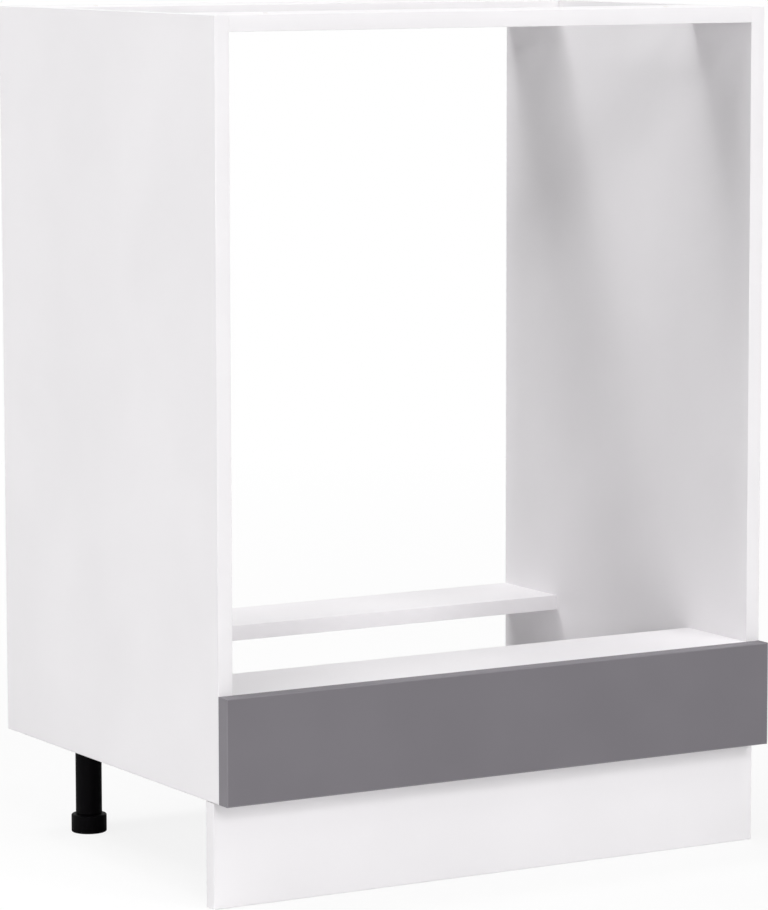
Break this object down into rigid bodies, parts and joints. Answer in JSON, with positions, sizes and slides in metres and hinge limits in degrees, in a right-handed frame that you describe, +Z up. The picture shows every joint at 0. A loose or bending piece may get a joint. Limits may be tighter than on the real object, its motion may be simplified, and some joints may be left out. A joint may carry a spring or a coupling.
{
  "type": "oven base cabinet",
  "caption": "Base cabinet for a built-in oven, open at the back, with top rails, oven support boards, a grey blind front, a clip-on plinth and screw-adjustable feet.",
  "frame": {"origin": "on the floor, in the middle of the cabinet's width and of its depth with the front panel", "axes": "+X to the cabinet's right as seen from the front, +Y to the rear, +Z up"},
  "size_m": [0.6, 0.456, 0.816],
  "materials": {
    "white_board": "white melamine, satin",
    "white_edging": "satin",
    "grey_board": "grey melamine, satin",
    "grey_edging": "satin",
    "black_plastic": "moulded",
    "zinc_steel": "zinc plated",
    "die_cast_zinc": "die cast",
    "beech": "raw"
  },
  "bodies": {
    "cabinet": {"left_side_board": "white_board", "right_side_board": "white_board", "bottom_board": "white_board", "top_front_rail": "white_board", "top_rear_rail": "white_board", "front_oven_board": "white_board", "rear_oven_board": "white_board", "left_side_edging": "white_edging", "right_side_edging": "white_edging", "bottom_edging": "white_edging", "top_front_edging": "white_edging", "top_rear_edging": "white_edging", "front_oven_edging": "white_edging", "rear_oven_edging": "white_edging", "front_panel": "grey_board", "front_panel_edging": "grey_edging", "front_left_leg_plate": "black_plastic", "front_left_leg_tube": "black_plastic", "front_right_leg_plate": "black_plastic", "front_right_leg_tube": "black_plastic", "rear_left_leg_plate": "black_plastic", "rear_left_leg_tube": "black_plastic", "rear_right_leg_plate": "black_plastic", "rear_right_leg_tube": "black_plastic", "lower_left_bracket": "zinc_steel", "lower_right_bracket": "zinc_steel", "upper_left_bracket": "zinc_steel", "upper_right_bracket": "zinc_steel", "dowels": "beech", "cams": "die_cast_zinc", "cam_bolts": "zinc_steel", "leg_plate_screws": "zinc_steel", "bracket_screws": "zinc_steel"},
    "front_left_leg_stem": {"front_left_leg_stem": "black_plastic"},
    "front_right_leg_stem": {"front_right_leg_stem": "black_plastic"},
    "rear_left_leg_stem": {"rear_left_leg_stem": "black_plastic"},
    "rear_right_leg_stem": {"rear_right_leg_stem": "black_plastic"},
    "front_left_foot": {"front_left_foot": "black_plastic"},
    "front_right_foot": {"front_right_foot": "black_plastic"},
    "rear_left_foot": {"rear_left_foot": "black_plastic"},
    "rear_right_foot": {"rear_right_foot": "black_plastic"},
    "plinth": {"plinth_board": "white_board", "plinth_edging": "white_edging", "left_plinth_clip": "black_plastic", "right_plinth_clip": "black_plastic", "plinth_clip_screws": "zinc_steel"}
  },
  "joints": [
    {"name": "front_left_foot_travel", "type": "slide", "parent": "cabinet", "child": "front_left_leg_stem", "axis": [0, 0, -1], "range_m": [0, 0.02]},
    {"name": "front_left_foot_turn", "type": "hinge", "parent": "front_left_leg_stem", "child": "front_left_foot", "pos_m": [-0.24, -0.154, 0.009], "axis": [0, 0, -1], "range_deg": [0, 1800]},
    {"name": "front_right_foot_travel", "type": "slide", "parent": "cabinet", "child": "front_right_leg_stem", "axis": [0, 0, -1], "range_m": [0, 0.02]},
    {"name": "front_right_foot_turn", "type": "hinge", "parent": "front_right_leg_stem", "child": "front_right_foot", "pos_m": [0.24, -0.154, 0.009], "axis": [0, 0, -1], "range_deg": [0, 1800]},
    {"name": "rear_left_foot_travel", "type": "slide", "parent": "cabinet", "child": "rear_left_leg_stem", "axis": [0, 0, -1], "range_m": [0, 0.02]},
    {"name": "rear_left_foot_turn", "type": "hinge", "parent": "rear_left_leg_stem", "child": "rear_left_foot", "pos_m": [-0.24, 0.17, 0.009], "axis": [0, 0, -1], "range_deg": [0, 1800]},
    {"name": "rear_right_foot_travel", "type": "slide", "parent": "cabinet", "child": "rear_right_leg_stem", "axis": [0, 0, -1], "range_m": [0, 0.02]},
    {"name": "rear_right_foot_turn", "type": "hinge", "parent": "rear_right_leg_stem", "child": "rear_right_foot", "pos_m": [0.24, 0.17, 0.009], "axis": [0, 0, -1], "range_deg": [0, 1800]},
    {"name": "plinth_pull", "type": "slide", "parent": "cabinet", "child": "plinth", "axis": [0, -1, 0], "range_m": [0, 0.06]}
  ],
  "couplings": [
    {"joint": "front_left_foot_turn", "follows": "front_left_foot_travel", "rad_per_m": 1570.8},
    {"joint": "front_right_foot_turn", "follows": "front_right_foot_travel", "rad_per_m": 1570.8},
    {"joint": "rear_left_foot_turn", "follows": "rear_left_foot_travel", "rad_per_m": 1570.8},
    {"joint": "rear_right_foot_turn", "follows": "rear_right_foot_travel", "rad_per_m": 1570.8}
  ]
}
